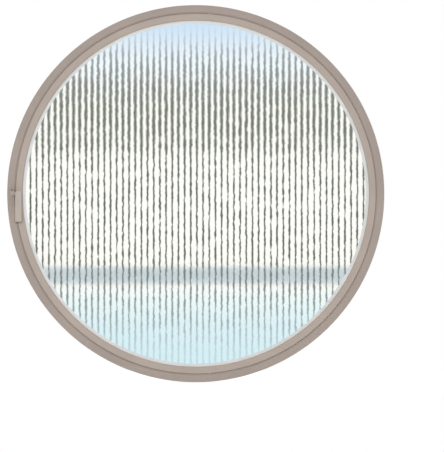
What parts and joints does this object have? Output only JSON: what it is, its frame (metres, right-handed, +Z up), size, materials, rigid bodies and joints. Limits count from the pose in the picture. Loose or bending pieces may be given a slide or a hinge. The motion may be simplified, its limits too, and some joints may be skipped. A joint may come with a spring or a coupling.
{
  "type": "round window",
  "caption": "Round centre-pivot window in a slim taupe metal frame, with vertically reeded double glazing and a small lever handle that locks the turning sash.",
  "frame": {"origin": "centre of the round opening, at half the depth of the outer frame", "axes": "+Z up along the pivot axis, +X to the right seen from the room, +Y out through the window"},
  "size_m": [1.1998, 0.1036, 1.2],
  "materials": {
    "frame_coat": "taupe satin powder coat on aluminium",
    "handle_coat": "lighter taupe satin powder coat on die-cast alloy",
    "fastener_steel": "plain stainless steel",
    "pivot_steel": "blackened turned steel",
    "bearing_plastic": "natural nylon",
    "weather_seal": "black synthetic rubber",
    "pale_sealant": "pale grey silicone",
    "spacer_metal": "bright aluminium",
    "reeded_glass": "clear rolled glass with vertical reeds",
    "clear_glass": "clear float glass"
  },
  "bodies": {
    "frame": {"outer_frame": "frame_coat", "frame_stop_bead": "frame_coat", "frame_stop_seal": "weather_seal", "frame_stop_screws": "fastener_steel", "top_pivot_socket": "pivot_steel", "bottom_pivot_socket": "pivot_steel", "top_pivot_bush": "bearing_plastic", "bottom_pivot_bush": "bearing_plastic", "pivot_socket_screws": "fastener_steel", "bottom_thrust_washer": "bearing_plastic", "keeper": "handle_coat", "keeper_screws": "handle_coat"},
    "sash": {"sash_ring": "frame_coat", "sash_cover_bead": "frame_coat", "sash_cover_seal": "weather_seal", "cover_bead_screws": "fastener_steel", "reeded_pane": "reeded_glass", "clear_pane": "clear_glass", "spacer_bar": "spacer_metal", "edge_sealant": "weather_seal", "front_glazing_seal": "pale_sealant", "rear_glazing_seal": "weather_seal", "glazing_bead": "frame_coat", "setting_blocks": "bearing_plastic", "top_pivot_pin": "pivot_steel", "bottom_pivot_pin": "pivot_steel", "top_friction_washer": "bearing_plastic", "handle_base": "handle_coat", "handle_base_screws": "handle_coat"},
    "handle": {"handle_lever": "handle_coat", "handle_spindle": "pivot_steel", "spindle_clip": "fastener_steel"}
  },
  "joints": [
    {"name": "sash_pivot", "type": "hinge", "parent": "frame", "child": "sash", "pos_m": [0, 0, 0], "axis": [0, 0, 1], "range_deg": [0, 90]},
    {"name": "handle_turn", "type": "hinge", "parent": "sash", "child": "handle", "pos_m": [-0.56375, -0.045, 0], "axis": [0, -1, 0], "range_deg": [0, 90]}
  ]
}
